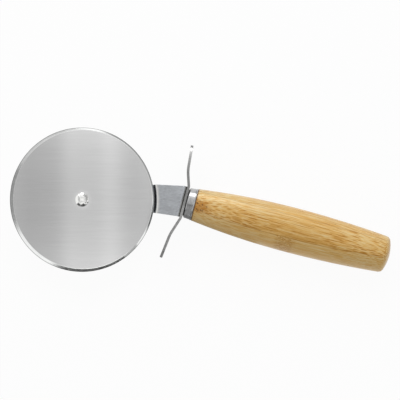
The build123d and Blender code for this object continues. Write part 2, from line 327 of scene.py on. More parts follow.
def polished_rivet(settings):
    """The rivet's head and tail."""
    # Steel closed by a spinning tool and polished: mirror bright, with slight flats that run out from its middle and a
    # haze of fine scratches, drawn 0.5 mm coarse so that it shows
    material, add = new_material("polished_rivet_steel")
    radial = grain_space(add, AXLE, 0, (4 * MM, 4 * MM, 1))
    reach = add("VectorMath", radial, operation="LENGTH").outputs["Value"]
    way = add("VectorMath", radial, operation="NORMALIZE")
    petals = add("TexNoise", {"Vector": way, "Scale": 1.9, "Detail": 1.5})
    flats = add("Math", petals, reach, operation="MULTIPLY")
    specks = grain_space(add, AXLE, 0, (0.5 * MM, 0.5 * MM, 0.5 * MM))
    haze = add("TexNoise", {"Vector": specks, "Scale": 1, "Detail": 2})
    tone = add("ValToRGB", haze, stops=[(0.3, shaded(settings.steel, 0.9)), (0.6, settings.steel)])
    rough = add("MapRange", haze, 0.3, 0.7, 0.08, 0.16)
    relief = add("Bump", {"Height": flats, "Distance": 0.9 * MM})
    surface = {"Base Color": tone, "Metallic": 1, "Roughness": rough, "Normal": relief}
    add("OutputMaterial", add("BsdfPrincipled", surface))
    return material


def tumbled_sheet(name, steel, roughness, turn, painted_step_radius=0, painted_levels=()):
    """The arm and the guard. If a radius about the axle is given, the step there gets a painted shadow in its corner,
    and its head and the fold get a painted highlight. The levels of painted light and shade, when given, say how bright
    the strip is at places across the handle, in mm from its axis."""
    # Stainless sheet that is punched, bent and tumbled with stones: a flat grey satin, mottled along the rolling
    # direction, with small bright nicks. The marks are about 0.1 mm wide, and are drawn 0.7 mm wide so that they show.
    material, add = new_material(name)
    marks = grain_space(add, SEAT, turn, (1.9 * MM, 0.7 * MM, 0.9 * MM))
    mottle = add("TexNoise", {"Vector": marks, "Scale": 1, "Detail": 3, "Roughness": 0.6})
    areas = grain_space(add, SEAT, turn, (9 * MM, 4 * MM, 5 * MM))
    cloud = add("TexNoise", {"Vector": areas, "Scale": 1, "Detail": 2})
    both = add("Mix", {0: 0.4, 2: mottle, 3: cloud})
    tone = add("ValToRGB", both, stops=[(0.38, shaded(steel, 0.86)), (0.5, steel), (0.62, shaded(steel, 1.12))])
    nicks = grain_space(add, SEAT, turn, (1.1 * MM, 0.6 * MM, 0.6 * MM))
    nick = add("TexNoise", {"Vector": nicks, "Scale": 1, "Detail": 1})
    glint = add("MapRange", nick, 0.68, 0.76, 0, 0.8)
    tone = add("Mix", {0: glint, 6: tone, 7: shaded(steel, 1.45)}, data_type="RGBA")
    if painted_step_radius:
        # The distance from the axle's line, with the height made too small to count
        outward = grain_space(add, AXLE, 0, (1, 1, 1e6))
        outward = add("VectorMath", outward, operation="LENGTH").outputs["Value"]
        # Painted highlight on the head of the step, fading out over about 2 mm of the flat
        painted_highlight = add("MapRange", outward, painted_step_radius + 2.6 * MM, painted_step_radius + 0.7 * MM, interpolation_type="SMOOTHSTEP")
        wall = add("Math", outward, painted_step_radius + 0.6 * MM, operation="GREATER_THAN")
        painted_highlight = add("Math", painted_highlight, wall, operation="MULTIPLY")
        # The fold is the last millimetre before the guard, and gets the painted highlight too
        place = add("SeparateXYZ", grain_space(add, arm_high, 0, (MM, MM, MM)))
        fold = add("MapRange", place.outputs["X"], -1.1, -0.8)
        painted_highlight = add("Math", painted_highlight, fold, operation="MAXIMUM")
        tone = add("Mix", {0: painted_highlight, 6: tone, 7: linear("DAD9D6")}, data_type="RGBA")
        # Painted shadow: the step's corner beside the wheel's rim is drawn nearly black
        painted_slot_shade = add("Math", outward, painted_step_radius - 0.05 * MM, 0.3 * MM, operation="COMPARE")
        tone = add("Mix", {0: painted_slot_shade, 6: tone, 7: shaded(steel, 0.3)}, data_type="RGBA")
    # Painted light and shade: the strip's brightness is scaled at places across the handle
    if painted_levels:
        place = add("SeparateXYZ", grain_space(add, SEAT, 0, (MM, MM, MM)))
        low, high = painted_levels[0][0], painted_levels[-1][0]
        share = add("MapRange", place.outputs["Y"], low, high)
        # Halved, because a ramp holds no more than 1
        level = add("ValToRGB", share, stops=[((spot - low) / (high - low), grey(level / 2)) for spot, level in painted_levels])
        level = add("Math", level, 2, operation="MULTIPLY")
        tone = add("HueSaturation", {"Color": tone, "Value": level})
    rough = add("MapRange", mottle, 0.3, 0.7, roughness - 0.05, roughness + 0.06)
    relief = add("Bump", {"Height": mottle, "Distance": 0.03 * MM})
    surface = {"Base Color": tone, "Metallic": 1, "Roughness": rough, "Normal": relief}
    add("OutputMaterial", add("BsdfPrincipled", surface))
    return material


def buffed_ferrule(settings):
    """The ferrule."""
    # Sheet steel drawn to a cup and buffed on a lathe: bright, with hair lines round it and soft scuffs from handling.
    # The hair lines are about 0.05 mm apart, and are drawn 0.3 mm apart so that they show.
    material, add = new_material("buffed_drawn_steel")
    turning = grain_space(add, SEAT, 0, (0.3 * MM, 9 * MM, 9 * MM))
    hair = add("TexNoise", {"Vector": turning, "Scale": 1, "Detail": 3, "Roughness": 0.6})
    rubs = grain_space(add, SEAT, 0, (1.6 * MM, 2.4 * MM, 2.4 * MM))
    scuffs = add("TexNoise", {"Vector": rubs, "Scale": 1, "Detail": 3, "Roughness": 0.55})
    tone = add("ValToRGB", scuffs, stops=[(0.35, shaded(settings.steel, 0.78)), (0.6, settings.steel)])
    # Painted shadow: the groove at the guard is drawn nearly black
    place = add("SeparateXYZ", grain_space(add, SEAT, 0, (MM, MM, MM)))
    painted_groove_shade = add("MapRange", place.outputs["X"], 0.62, 0.5)
    tone = add("Mix", {0: painted_groove_shade, 6: tone, 7: shaded(settings.steel, 0.1)}, data_type="RGBA")
    rough = add("MapRange", hair, 0.3, 0.7, 0.12, 0.24)
    relief = add("Bump", {"Height": scuffs, "Distance": 0.05 * MM})
    surface = {"Base Color": tone, "Metallic": 1, "Roughness": rough, "Normal": relief}
    add("OutputMaterial", add("BsdfPrincipled", surface))
    return material


def plated_steel(name, steel, roughness):
    """The screw and the washers."""
    # Steel hardware with a thin zinc coat: pale, slightly blue and cloudy, with a fine crystal haze. The crystals are
    # under 0.1 mm across, and are drawn 0.3 mm across so that they show.
    material, add = new_material(name)
    areas = grain_space(add, SEAT, 0, (1.8 * MM, 1.8 * MM, 1.8 * MM))
    clouds = add("TexNoise", {"Vector": areas, "Scale": 1, "Detail": 3, "Roughness": 0.6})
    grit = grain_space(add, SEAT, 0, (0.3 * MM, 0.3 * MM, 0.3 * MM))
    crystals = add("TexNoise", {"Vector": grit, "Scale": 1, "Detail": 2})
    tone = add("ValToRGB", clouds, stops=[(0.35, shaded(steel, 0.8)), (0.65, steel)])
    rough = add("MapRange", crystals, 0.3, 0.7, roughness - 0.06, roughness + 0.08)
    relief = add("Bump", {"Height": crystals, "Distance": 0.01 * MM})
    surface = {"Base Color": tone, "Metallic": 1, "Roughness": rough, "Normal": relief}
    add("OutputMaterial", add("BsdfPrincipled", surface))
    return material


def turned_bamboo(settings):
    """The handle."""
    # Bamboo strips glued into a blank, turned, sanded and oiled. The fibre bundles run along the handle, so the turned
    # surface cuts them into long lines at the belly and into short flecks where it slopes. A thin oil gives it a satin
    # gloss.
    # In mm from the handle's seat: its stem joint and its belly. From its axis: the two glue planes.
    joint_place, belly_place, lower_seam, upper_seam = 60, 62, 6.9, 8.2
    material, add = new_material("turned_oiled_bamboo")
    handle = grain_space(add, SEAT, 0, (MM, MM, MM))
    split = add("SeparateXYZ", handle)
    along, across = split.outputs["X"], split.outputs["Y"]

    # The glue plane of the lower strip leans, so its seam bows with the belly. One stem joint crosses that strip
    seam_side = add("VectorMath", handle, (-0.025, 1, 1.1), operation="DOT_PRODUCT").outputs["Value"]
    low = add("MapRange", seam_side, lower_seam, lower_seam - 1.3)
    off_joint = add("Math", along, joint_place, operation="SUBTRACT")
    off_joint = add("Math", off_joint, operation="ABSOLUTE")
    joint = add("MapRange", off_joint, 8, 2, interpolation_type="SMOOTHSTEP")
    near = add("MapRange", seam_side, 8.2, 6.8)
    joint = add("Math", joint, near, operation="MULTIPLY")

    # The fibres wander a little, more round the joint and towards the butt
    drifting = add("Mapping", {"Vector": handle, "Scale": (7, 3, 3)}, vector_type="TEXTURE")
    drift = add("TexNoise", {"Vector": drifting, "Scale": 1, "Detail": 2}).outputs["Color"]
    drift = add("VectorMath", drift, (0.5, 0.5, 0.5), operation="SUBTRACT")
    drift = add("VectorMath", drift, (0, 1, 1), operation="MULTIPLY")
    butt = add("MapRange", along, 85, 105, 0, 2)
    slack = add("Math", butt, low, 0.5, operation="MULTIPLY_ADD")
    slack = add("Math", joint, 4, slack, operation="MULTIPLY_ADD")
    drift = add("VectorMath", {0: drift, "Scale": slack}, operation="SCALE")
    wandering = add("VectorMath", handle, drift, operation="ADD")

    # Amber bundles, 0.36 by 0.7 mm. The fibres between them are about 0.1 mm wide, and are drawn 0.4 mm wide to show.
    cut = add("Mapping", {"Vector": wandering, "Scale": (32, 0.7, 0.36)}, vector_type="TEXTURE")
    bundles = add("TexVoronoi", {"Vector": cut, "Scale": 1}).outputs["Distance"]
    bundle = add("MapRange", bundles, 0.56, 0.26)
    fine = add("Mapping", {"Vector": wandering, "Scale": (30, 0.6, 0.4)}, vector_type="TEXTURE")
    fibres = add("TexNoise", {"Vector": fine, "Scale": 1, "Detail": 3, "Roughness": 0.7})
    fibre = add("MapRange", fibres, 0.34, 0.66)
    belly = add("Math", along, belly_place, operation="SUBTRACT")
    belly = add("Math", belly, operation="ABSOLUTE")
    lined = add("MapRange", belly, 45, 22, 0.35, 0.65)
    grain = add("Mix", {0: lined, 2: bundle, 3: fibre})

    # The lower strip has fewer bundles. The upper side is paler, most near the ferrule: partly paler wood, partly a
    # painted sheen
    few = add("Math", low, -0.4, 1, operation="MULTIPLY_ADD")
    grain = add("Math", grain, few, operation="MULTIPLY")
    pale_wood_and_sheen = add("MapRange", across, 2, 7, interpolation_type="SMOOTHSTEP")
    fading = add("MapRange", along, 20, 60, 0.26, 0.12)
    pale_wood_and_sheen = add("Math", pale_wood_and_sheen, fading, operation="MULTIPLY")
    grain = add("Math", grain, pale_wood_and_sheen, operation="SUBTRACT")
    wood = add("ValToRGB", grain, stops=[(0, settings.pale), (0.36, settings.honey), (0.8, settings.amber)])

    # Tone changes from strip to strip and along each
    strips = add("Mapping", {"Vector": handle, "Scale": (30, 5, 8)}, vector_type="TEXTURE")
    broad = add("TexNoise", {"Vector": strips, "Scale": 1, "Detail": 3})
    level = add("MapRange", broad, 0.3, 0.7, 0.96, 1.04)
    wood = add("HueSaturation", {"Color": wood, "Value": level})

    # Glue lines, and the amber arcs of the joint
    seam = add("Math", seam_side, lower_seam, 0.3, operation="COMPARE")
    other = add("Math", across, upper_seam, 0.2, operation="COMPARE")
    seams = add("Math", seam, other, operation="ADD")
    seams = add("Math", seams, 0.3, operation="MULTIPLY")
    wood = add("Mix", {0: seams, 6: wood, 7: settings.brown}, data_type="RGBA")
    arcs = add("MapRange", fibres, 0.45, 0.58, 0, 0.8)
    arcs = add("Math", arcs, joint, operation="MULTIPLY")
    wood = add("Mix", {0: arcs, 6: wood, 7: settings.amber}, data_type="RGBA")

    # An amber patch with dark specks at the ferrule, a dark line on the wood where it meets the ferrule, and a few dark
    # pits
    neck = add("Mapping", {"Vector": wandering, "Location": (7, -0.3, 8), "Scale": (10, 4.5, 7)}, vector_type="TEXTURE")
    neck = add("VectorMath", neck, operation="LENGTH").outputs["Value"]
    neck = add("MapRange", neck, 1, 0.4, interpolation_type="SMOOTHSTEP")
    stain = add("Math", grain, 0.8, 0.65, operation="MULTIPLY_ADD", use_clamp=True)
    stain = add("Math", neck, stain, operation="MULTIPLY")
    wood = add("Mix", {0: stain, 6: wood, 7: settings.amber}, data_type="RGBA")
    specks = add("TexVoronoi", {"Vector": handle, "Scale": 0.7}).outputs["Distance"]
    speck = add("MapRange", specks, 0.34, 0.22)
    speck = add("Math", speck, neck, operation="MULTIPLY")
    pits = add("TexVoronoi", {"Vector": handle, "Scale": 0.09}).outputs["Distance"]
    pit = add("MapRange", pits, 0.045, 0.025)
    dark_ferrule_line = add("MapRange", along, 6, 5.4, 0, 0.8)
    dark = add("Math", speck, pit, operation="MAXIMUM")
    dark = add("Math", dark, dark_ferrule_line, operation="MAXIMUM")
    wood = add("Mix", {0: dark, 6: wood, 7: shaded(settings.brown, 0.4)}, data_type="RGBA")
    rough = add("MapRange", grain, 0, 1, 0.3, 0.4)
    relief = add("Bump", {"Height": grain, "Distance": 0.01 * MM})
    surface = {"Base Color": wood, "Roughness": rough, "Normal": relief, "IOR": 1.5}
    add("OutputMaterial", add("BsdfPrincipled", surface))
    return material


def tangent_arc(start, end, tangent, steps):
    """Points on the circle arc that leaves start along tangent and reaches end, with both ends."""
    start, chord = Vector(start), Vector(end) - Vector(start)
    ahead = Vector(tangent).normalized()
    aside = Vector((-ahead.y, ahead.x))
    centre = start + aside * chord.length_squared / (2 * chord.dot(aside))
    sweep = 2 * atan2(chord.dot(aside), chord.dot(ahead))
    return [centre + Matrix.Rotation(sweep * step / steps, 2) @ (start - centre) for step in range(steps + 1)]


def put_in_order(mesh):
    """Numbers the points, edges and faces by their place. A merge leaves them in an order that differs in each run."""
    points = sorted(mesh.verts, key=lambda vert: [round(part / SAME) for part in vert.co])
    for index, vert in enumerate(points):
        vert.index = index
    mesh.verts.sort()
    for parts in (mesh.edges, mesh.faces):
        numbered = sorted(parts, key=lambda part: sorted(vert.index for vert in part.verts))
        for index, part in enumerate(numbered):
            part.index = index
        parts.sort()


def lathe(origin, axis, section, rounds, steps):
    """A turned piece as a bmesh. The closed half section is a list of (along the axis, out from it), in metres, and
    rounds gives a radius to some of its corners."""
    out = Vector((0, 1, 0)) if axis.x else Vector((1, 0, 0))
    mesh = bmesh.new()
    corners = [mesh.verts.new(origin + axis * along + out * radius) for along, radius in section]
    mesh.faces.new(corners)
    slides = {index: radius / tan(corners[index].link_loops[0].calc_angle() / 2) for index, radius in rounds.items()}
    for index, slide in slides.items():
        bmesh.ops.bevel(
            mesh, geom=[corners[index]], offset=slide, segments=6, profile=0.5, affect="VERTICES", material=-1
        )
    bmesh.ops.delete(mesh, geom=mesh.faces[:], context="FACES_ONLY")
    on_axis = [edge for edge in mesh.edges if all((vert.co - origin).cross(axis).length < SAME for vert in edge.verts)]
    bmesh.ops.delete(mesh, geom=on_axis, context="EDGES")
    bmesh.ops.spin(
        mesh, geom=mesh.verts[:] + mesh.edges[:], cent=origin, axis=axis, angle=2 * pi, steps=steps, use_merge=True
    )
    bmesh.ops.remove_doubles(mesh, verts=mesh.verts, dist=SAME)
    put_in_order(mesh)
    bmesh.ops.recalc_face_normals(mesh, faces=mesh.faces)
    return mesh


def to_object(mesh, name, *materials):
    """The bmesh as an object at the origin."""
    data = bpy.data.meshes.new(name)
    mesh.to_mesh(data)
    mesh.free()
    for material in materials:
        data.materials.append(material)
    piece = bpy.data.objects.new(name, data)
    bpy.context.scene.collection.objects.link(piece)
    return piece


def settle(piece):
    """Puts what the modifiers make into the mesh."""
    graph = bpy.context.evaluated_depsgraph_get()
    made = bpy.data.meshes.new_from_object(piece.evaluated_get(graph), depsgraph=graph)
    piece.modifiers.clear()
    old, name = piece.data, piece.name
    piece.data = made
    bpy.data.meshes.remove(old)
    made.name = name


def punch(piece, centre, axis, diameter, depth):
    """Cuts a round hole through a piece."""
    tool = bmesh.new()
    place = Matrix.Translation(centre) @ UP.rotation_difference(axis).to_matrix().to_4x4()
    bmesh.ops.create_cone(
        tool, cap_ends=True, segments=48, radius1=diameter / 2, radius2=diameter / 2, depth=depth, matrix=place
    )
    cutter = to_object(tool, "punch")
    hole = piece.modifiers.new("hole", "BOOLEAN")
    hole.operation = "DIFFERENCE"
    hole.solver = "EXACT"
    hole.object = cutter
    settle(piece)
    bpy.data.meshes.remove(cutter.data)


def thicken(piece, thickness):
    """Gives a sheet its thickness, half to each side."""
    wall = piece.modifiers.new("wall", "SOLIDIFY")
    wall.thickness = thickness
    wall.offset = 0
    wall.use_even_offset = True
    settle(piece)


def wear_edges(piece, width):
    """Rounds the cut edges of a sheet piece."""
    wear = piece.modifiers.new("wear", "BEVEL")
    wear.width = width
    wear.segments = 4
    wear.limit_method = "ANGLE"
    wear.angle_limit = radians(50)
    settle(piece)


def complete(piece, hard_edge, body, node):
    """Smooths a piece up to its hard edges, and lets it ride on its body in place of its CAD node."""
    piece.data.shade_smooth()
    piece.data.set_sharp_from_angle(angle=radians(hard_edge))
    weighted = piece.modifiers.new("flat faces stay flat", "WEIGHTED_NORMAL")
    weighted.keep_sharp = True
    settle(piece)
    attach(piece, body)
    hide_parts(node)


def pull(mesh, ends, offset):
    """Pulls points or edges on by offset, and returns them at the far end."""
    made = bmesh.ops.spin(mesh, geom=ends, cent=(0, 0, 0), axis=UP, dvec=offset, angle=0, steps=1, use_merge=False)
    return made["geom_last"]


def bend(mesh, ends, centre, axis, turn):
    """Swings points or edges on about an axis in ten steps, and returns them at the far end."""
    made = bmesh.ops.spin(mesh, geom=ends, cent=centre, axis=axis, angle=turn, steps=10, use_merge=False)
    return made["geom_last"]


def shear(mesh, faces, point, outward):
    """Cuts away what lies outside a plane, from the given faces only, and returns those that are left."""
    cut = dict.fromkeys(part for face in faces for part in (face, *face.edges, *face.verts))
    left = bmesh.ops.bisect_plane(
        mesh, geom=list(cut), plane_co=point, plane_no=outward, clear_outer=True, dist=1e-8
    )["geom"]
    return [part for part in left if isinstance(part, bmesh.types.BMFace)]


class CUTTER_OT_wheel(Operator):
    """Makes the cutting wheel: a brushed disc with a ground bevel"""

    bl_idname = "cutter.wheel"
    bl_label = "Cutting Wheel"

    def execute(self, context):
        wheel = context.scene.cutter_wheel
        half, land = wheel.thickness / 2, wheel.edge_land / 2
        flat = WHEEL_RADIUS - wheel.bevel_width
        section = [
            (-half, wheel.bore / 2),
            (-half, flat),
            (-land, WHEEL_RADIUS),
            (land, WHEEL_RADIUS),
            (half, flat),
            (half, wheel.bore / 2),
        ]
        bore_round, rim_round = 0.12 * MM, 0.16 * MM
        mesh = lathe(AXLE, UP, section, {0: bore_round, 5: bore_round}, 256)
        # The stone took more off the lower left of the wheel than off its upper right
        rims = [vert for vert in mesh.verts if abs((vert.co - AXLE).to_2d().length - flat) < ON_IT]
        turn = radians(27)
        aside = PICTURE_RIGHT * cos(turn) + PICTURE_UP * sin(turn)
        bmesh.ops.translate(mesh, verts=rims, vec=aside * wheel.grind_shift)
        burrs = [edge for edge in mesh.edges if edge.verts[0] in rims and edge.verts[1] in rims]
        bmesh.ops.bevel(mesh, geom=burrs, offset=rim_round, segments=3, profile=0.5, affect="EDGES", material=-1)
        for face in mesh.faces:
            is_rim = (face.calc_center_median() - AXLE).to_2d().length > flat * 0.9
            face.material_index = 1 if is_rim and abs(face.normal.z) < 0.9999 else 0
        piece = to_object(mesh, "wheel_disc", brushed_sheet(wheel), ground_bevel(wheel))
        complete(piece, 12, "wheel", "cutting_wheel")
        return {"FINISHED"}


class CUTTER_OT_rivet(Operator):
    """Makes the rivet that the wheel turns on"""

    bl_idname = "cutter.rivet"
    bl_label = "Rivet"

    def execute(self, context):
        rivet = context.scene.cutter_rivet
        low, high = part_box("axle_rivet")
        top, bottom = high.z - AXLE.z, low.z - AXLE.z
        head_seat = top - rivet.head_height
        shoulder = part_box("wheel_spacer")[1].z - AXLE.z
        tail_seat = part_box("tail_washer")[0].z - AXLE.z
        head, tail = rivet.head_diameter / 2, rivet.tail_diameter / 2
        dome = tangent_arc((top, 0), (head_seat + rivet.head_rim, head), (0, 1), 12)
        button = tangent_arc((bottom, 0), (tail_seat - rivet.tail_rim, tail), (0, 1), 8)
        section = [
            *dome,
            (head_seat, head),
            (head_seat, rivet.journal / 2),
            (shoulder, rivet.journal / 2),
            (shoulder, rivet.tenon / 2),
            (tail_seat, rivet.tenon / 2),
            (tail_seat, tail),
            *reversed(button),
        ]
        rim = len(dome) - 1
        mesh = lathe(AXLE, UP, section, {rim: 0.2 * MM, rim + 1: 0.1 * MM}, 96)
        piece = to_object(mesh, "rivet", polished_rivet(rivet))
        complete(piece, 40, "frame", "axle_rivet")
        return {"FINISHED"}


class CUTTER_OT_arm(Operator):
    """Makes the bent arm between the handle and the rivet"""

    bl_idname = "cutter.arm"
    bl_label = "Arm"

    def execute(self, context):
        arm = context.scene.cutter_arm
        half = arm.thickness / 2
        flat_z, tongue_z = arm_high.z - half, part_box("wheel_spacer")[0].z - half
        flange_x = arm_high.x - half
        ahead = Vector((-cos(arm.cant), -sin(arm.cant), 0))
        beside = Vector((-sin(arm.cant), cos(arm.cant), 0))
        fold = Vector((flange_x - arm.fold_radius, SEAT.y, 0))
        rivet = Vector((AXLE.x, AXLE.y, 0))
        mesh = bmesh.new()

        # A sheet turned about the rivet: the tongue, the step that follows the wheel's rim, and the flat
        drop = flat_z - tongue_z
        knee = WHEEL_RADIUS + arm.rim_gap + half / sin(arm.step_slope) + (flat_z - AXLE.z) / tan(arm.step_slope)
        foot = knee - drop / tan(arm.step_slope)
        bend_run = arm.step_radius * tan(arm.step_slope / 2)
        rise = drop - 2 * arm.step_radius * (1 - cos(arm.step_slope))
        ends = [mesh.verts.new(rivet + UP * tongue_z - ahead * arm.rivet_hole / 2)]
        ends = pull(mesh, ends, -ahead * (foot - bend_run - arm.rivet_hole / 2))
        lower = rivet - ahead * (foot - bend_run) + UP * (tongue_z + arm.step_radius)
        ends = bend(mesh, ends, lower, -beside, arm.step_slope)
        ends = pull(mesh, ends, (UP - ahead / tan(arm.step_slope)) * rise)
        upper = rivet - ahead * (knee + bend_run) + UP * (flat_z - arm.step_radius)
        ends = bend(mesh, ends, upper, beside, arm.step_slope)
        pull(mesh, ends, -ahead * arm.flange_width * 2)
        bmesh.ops.spin(
            mesh, geom=mesh.verts[:] + mesh.edges[:], cent=rivet, axis=UP, angle=2 * pi, steps=120, use_merge=True
        )
        bmesh.ops.remove_doubles(mesh, verts=mesh.verts, dist=SAME)
        put_in_order(mesh)

        # The flat is sheared to its taper, and the tongue to its taper and to a round end about the rivet. Slivers that
        # the shears leave are merged away.
        sliver = 0.05 * MM
        rivet_run, rivet_aside = (rivet - fold).dot(ahead), (rivet - fold).dot(beside)
        line = fold + ahead * (rivet_run - foot)
        whole = mesh.verts[:] + mesh.edges[:] + mesh.faces[:]
        crease = bmesh.ops.bisect_plane(mesh, geom=whole, plane_co=line, plane_no=ahead, dist=1e-8)["geom_cut"]
        bmesh.ops.split_edges(mesh, edges=[part for part in crease if isinstance(part, bmesh.types.BMEdge)])
        flat = [face for face in mesh.faces if (face.calc_center_median() - line).dot(ahead) < 0]
        tongue = [face for face in mesh.faces if face not in set(flat)]
        flat = shear(mesh, flat, fold, Vector((1, 0, 0)))
        tangents = []
        for side in (1, -1):
            corner = line + beside * side * arm.step_width / 2
            taper = corner - fold - Vector((0, side * arm.flange_width / 2, 0))
            flat = shear(mesh, flat, corner, taper.cross(UP) * side)
            away = Vector((-foot, side * arm.step_width / 2 - rivet_aside))
            tangents.append(side * (abs(atan2(away.y, away.x)) - acos(arm.tongue_radius / away.length)))
        steps = 40
        for step in range(steps + 1):
            turn = tangents[0] + (tangents[1] - tangents[0]) * step / steps
            outward = ahead * cos(turn) + beside * sin(turn)
            tongue = shear(mesh, tongue, rivet + outward * arm.tongue_radius, outward)
        put_in_order(mesh)
        bmesh.ops.remove_doubles(mesh, verts=mesh.verts, dist=sliver)
        put_in_order(mesh)

        # From the flat's end, the fold turns down into the flange, whose lower corners are sheared round
        ends = [edge for edge in mesh.edges if all(abs(vert.co.x - fold.x) < ON_IT for vert in edge.verts)]
        ends += dict.fromkeys(vert for edge in ends for vert in edge.verts)
        ends = bend(mesh, ends, fold + UP * (flat_z - arm.fold_radius), Vector((0, 1, 0)), pi / 2)
        flange_drop = flat_z - arm.fold_radius - SEAT.z + arm.flange_drop
        ends = pull(mesh, ends, UP * -flange_drop)
        flange = [face for face in mesh.faces if all(abs(vert.co.x - flange_x) < ON_IT for vert in face.verts)]
        steps = 12
        for side in (1, -1):
            middle = Vector((flange_x, SEAT.y, SEAT.z - arm.flange_drop + arm.flange_round))
            middle.y += side * (arm.flange_width / 2 - arm.flange_round)
            for step in range(steps):
                turn = radians(90) * (step + 0.5) / steps
                outward = Vector((0, side * cos(turn), -sin(turn)))
                flange = shear(mesh, flange, middle + outward * arm.flange_round, outward)
        put_in_order(mesh)
        bmesh.ops.remove_doubles(mesh, verts=mesh.verts, dist=sliver)
        put_in_order(mesh)
        bmesh.ops.recalc_face_normals(mesh, faces=mesh.faces)

        steel = tumbled_sheet("tumbled_stainless_arm", arm.steel, 0.38, PICTURE_TURN, WHEEL_RADIUS + arm.rim_gap)
        piece = to_object(mesh, "arm", steel)
        thicken(piece, arm.thickness)
        punch(piece, Vector((flange_x, SEAT.y, SEAT.z)), Vector((1, 0, 0)), arm.screw_hole, arm.thickness * 2)
        wear_edges(piece, arm.edge_wear)
        complete(piece, 50, "frame", "neck_plate")
        return {"FINISHED"}


class CUTTER_OT_guard(Operator):
    """Makes the bent finger guard"""

    bl_idname = "cutter.guard"
    bl_label = "Finger Guard"

    def execute(self, context):
        guard = context.scene.cutter_guard
        strip_x = SEAT.x - guard.thickness / 2
        straight = guard.root_place - guard.root_radius * tan(guard.root_turn / 2)
        mesh = bmesh.new()
        across = [mesh.verts.new((strip_x, SEAT.y, SEAT.z + side * guard.depth / 2)) for side in (-1, 1)]
        middle = [*across, mesh.edges.new(across)]
        wings = (
            (1, guard.upper_bend, guard.upper_lean, guard.upper_reach),
            (-1, guard.lower_bend, guard.lower_lean, guard.lower_reach),
        )

        # Each wing: straight behind the arm, a bend away from the handle, the slant, a slight bend back, and the tip
        for side, bend_place, lean, reach in wings:
            slant = Vector((-sin(guard.root_turn), side * cos(guard.root_turn), 0))
            tip = Vector((-sin(lean), side * cos(lean), 0))
            bend_run = guard.bend_radius * tan((guard.root_turn - lean) / 2)
            ends = pull(mesh, middle, (0, side * straight, 0))
            centre = Vector((strip_x - guard.root_radius, SEAT.y + side * straight, 0))
            ends = bend(mesh, ends, centre, UP * side, guard.root_turn)
            slant_run = (bend_place - guard.root_place) / cos(guard.root_turn) - bend_run
            ends = pull(mesh, ends, slant * (slant_run - guard.root_place + straight))
            corners = [part for part in ends if isinstance(part, bmesh.types.BMVert)]
            centre = corners[0].co + slant.cross(UP) * side * guard.bend_radius
            ends = bend(mesh, ends, centre, UP * side, lean - guard.root_turn)
            ends = pull(mesh, ends, tip * ((reach - bend_place) / cos(lean) - bend_run))
            corners = [part for part in ends if isinstance(part, bmesh.types.BMVert)]
            bmesh.ops.bevel(
                mesh, geom=corners, offset=guard.tip_round, segments=14, profile=0.5, affect="VERTICES", material=-1
            )
        bmesh.ops.recalc_face_normals(mesh, faces=mesh.faces)

        # Painted light and shade across the guard: darker on the lower wing and towards the upper root, a painted
        # highlight near the upper tip, and a painted dark reflection at the very tip
        places = (-34, -4, 4, 18, 22, 25, 28, 30, 31.6)
        levels = (0.83, 0.83, 0.55, 0.57, 0.8, 0.93, 1.2, 1.8, 0.5)
        painted_levels = tuple(zip(places, levels))
        piece = to_object(mesh, "guard", tumbled_sheet("tumbled_stainless_guard", guard.steel, 0.3, 0, painted_levels=painted_levels))
        thicken(piece, guard.thickness)
        punch(piece, Vector((strip_x, SEAT.y, SEAT.z)), Vector((1, 0, 0)), guard.screw_hole, guard.thickness * 2)
        wear_edges(piece, guard.edge_wear)
        complete(piece, 50, "frame", "finger_guard")
        return {"FINISHED"}


class CUTTER_OT_ferrule(Operator):
    """Makes the ferrule with its rolled rim"""

    bl_idname = "cutter.ferrule"
    bl_label = "Ferrule"

    def execute(self, context):
        ferrule = context.scene.cutter_ferrule
        front, rear = ferrule.front_diameter / 2, ferrule.rear_diameter / 2
        hole, bore = ferrule.screw_hole / 2, front - ferrule.wall
        middle = Vector((ferrule.length - ferrule.bead, rear - ferrule.bead / 2))
        lean = radians(20)
        bead_start = middle + Vector((-cos(lean), sin(lean))) * ferrule.bead
        section = [
            (0, hole),
            (0, front - ferrule.groove_depth),
            (ferrule.groove_width, front - ferrule.groove_depth),
            (ferrule.groove_width, front),
            *tangent_arc(bead_start, middle + Vector((ferrule.bead, 0)), (sin(lean), cos(lean)), 14),
            (ferrule.length, bore),
            (ferrule.wall, bore),
            (ferrule.wall, hole),
        ]
        mesh = lathe(SEAT, Vector((1, 0, 0)), section, {3: ferrule.front_round}, 160)
        piece = to_object(mesh, "ferrule_cup", buffed_ferrule(ferrule))
        complete(piece, 40, "frame", "ferrule")
        return {"FINISHED"}


class CUTTER_OT_handle(Operator):
    """Makes the turned bamboo handle"""

    bl_idname = "cutter.handle"
    bl_label = "Handle"

    def execute(self, context):
        handle = context.scene.cutter_handle
        front, butt = ferrule_high.x - SEAT.x, handle_high.x - SEAT.x
        neck = (front, handle.neck_diameter / 2)
        belly = (front + handle.belly_place, handle.belly_diameter / 2)
        corner = (butt - handle.butt_crown, handle.butt_diameter / 2)
        barrel = tangent_arc(belly, neck, (-1, 0), 14)[::-1] + tangent_arc(belly, corner, (1, 0), 14)[1:]
        section = [
            (handle.pilot_depth, 0),
            (handle.pilot_depth, handle.pilot_bore / 2),
            (handle.spigot_gap, handle.pilot_bore / 2),
            (handle.spigot_gap, handle.spigot / 2),
            (front, handle.spigot / 2),
            *barrel,
            *tangent_arc((butt, 0), corner, (0, 1), 5)[-2::-1],
        ]
        rounds = {5: handle.neck_round, 4 + len(barrel): handle.butt_round}
        mesh = lathe(SEAT, Vector((1, 0, 0)), section, rounds, 160)
        piece = to_object(mesh, "handle_barrel", turned_bamboo(handle))
        complete(piece, 40, "frame", "handle")
        return {"FINISHED"}


